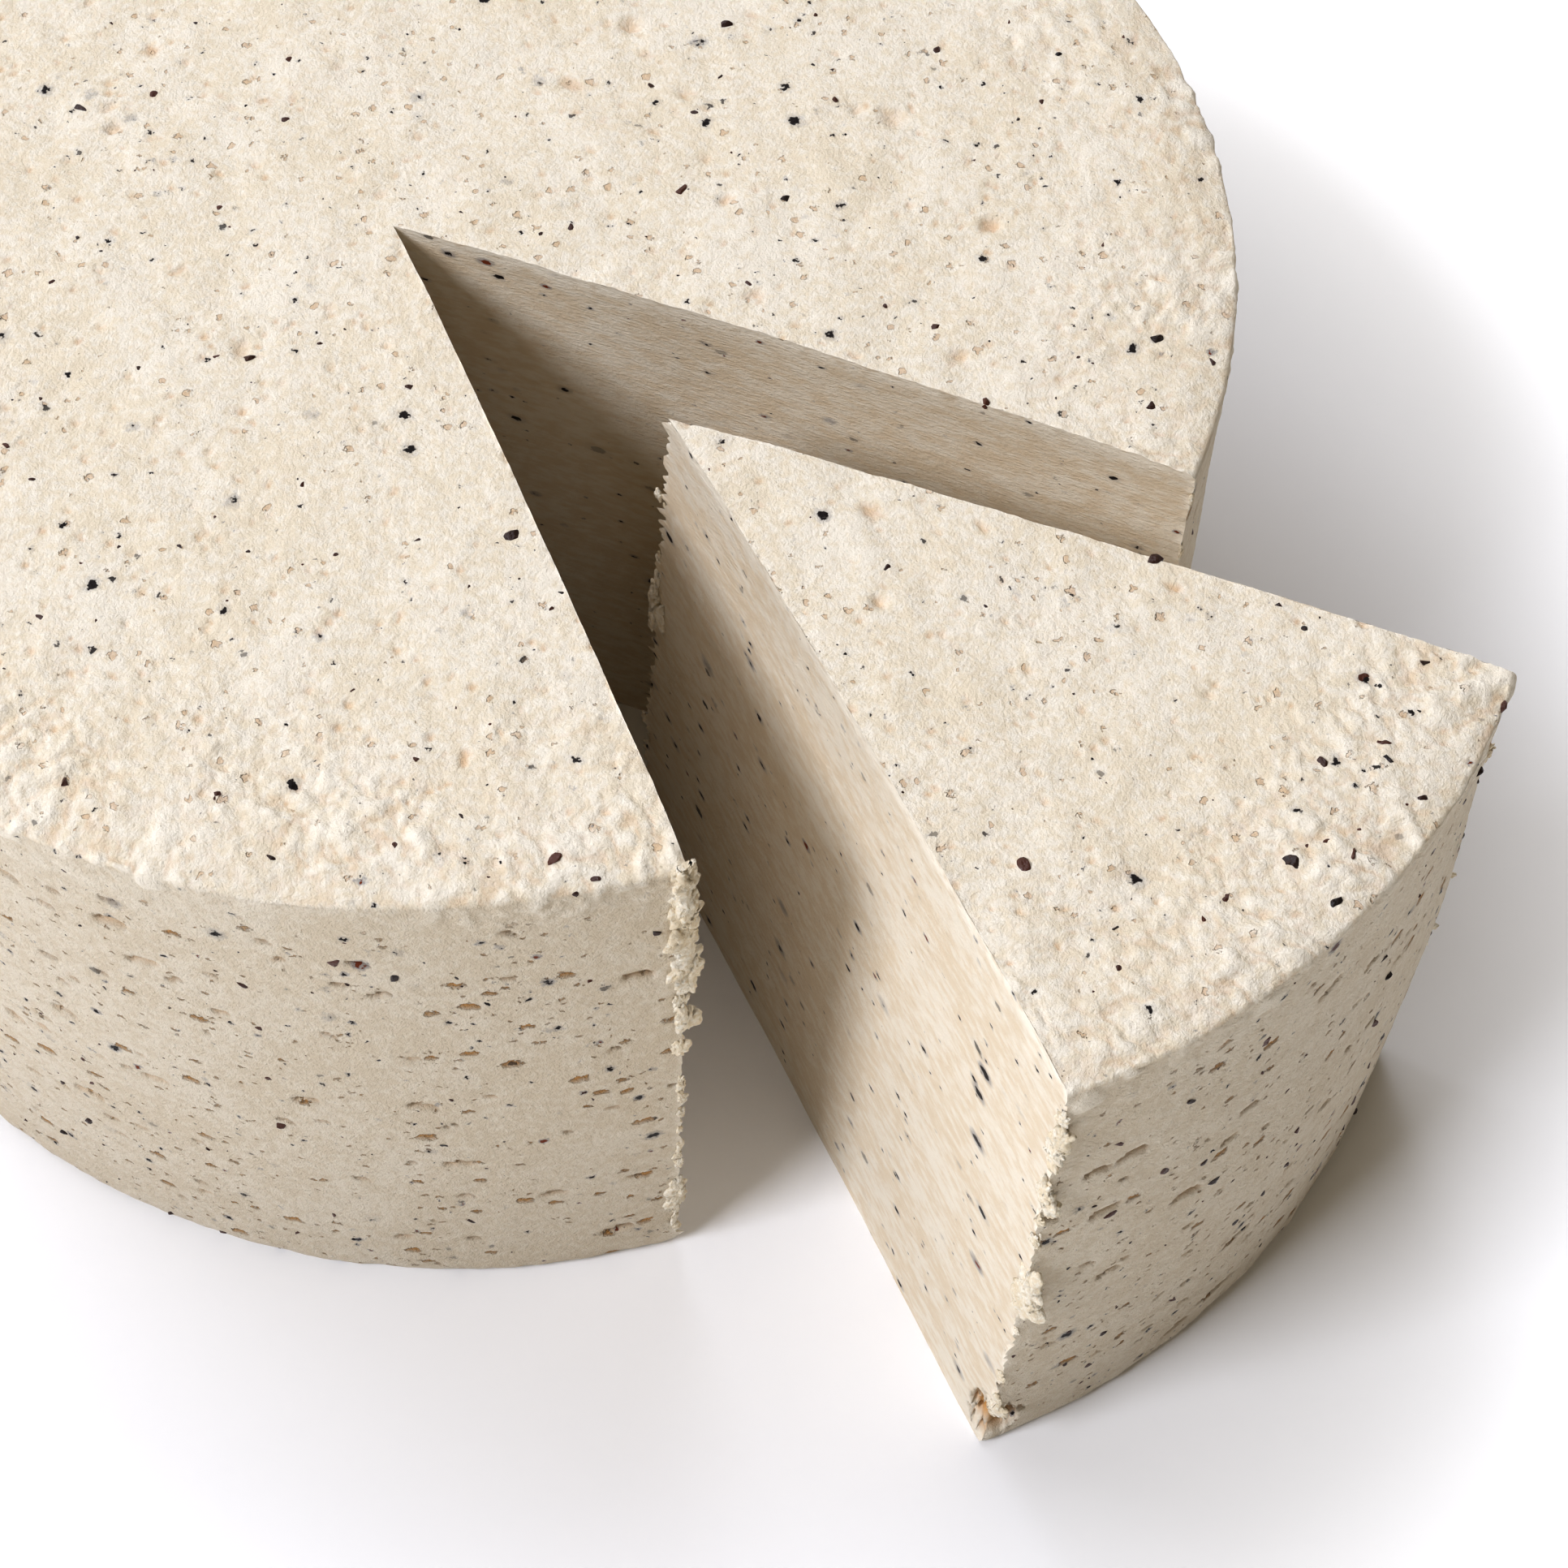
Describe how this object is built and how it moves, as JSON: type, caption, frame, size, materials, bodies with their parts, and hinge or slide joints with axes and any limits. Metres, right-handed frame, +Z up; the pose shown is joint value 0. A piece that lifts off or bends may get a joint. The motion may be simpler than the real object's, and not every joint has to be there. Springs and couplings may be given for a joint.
{
  "type": "cheese wheel",
  "caption": "Round moulded wheel of pepper-flecked cheese with a cut wedge drawn part way out of it, standing on its flat underside.",
  "frame": {"origin": "middle of the footprint of wheel and wedge together, on the surface that both stand on", "axes": "+Z up along the wheel's axis; -Y is the front, and the cut opens towards +X and -Y"},
  "size_m": [0.2182, 0.2316, 0.096],
  "materials": {
    "cheese_wheel": "matt, moist crumbly cream paste with tan pores and black pepper flecks",
    "cheese_wedge": "matt cream paste, smoother knife-cut sides with short dark pepper streaks"
  },
  "bodies": {
    "root": {"wheel": "cheese_wheel", "wedge": "cheese_wedge"}
  },
  "joints": []
}
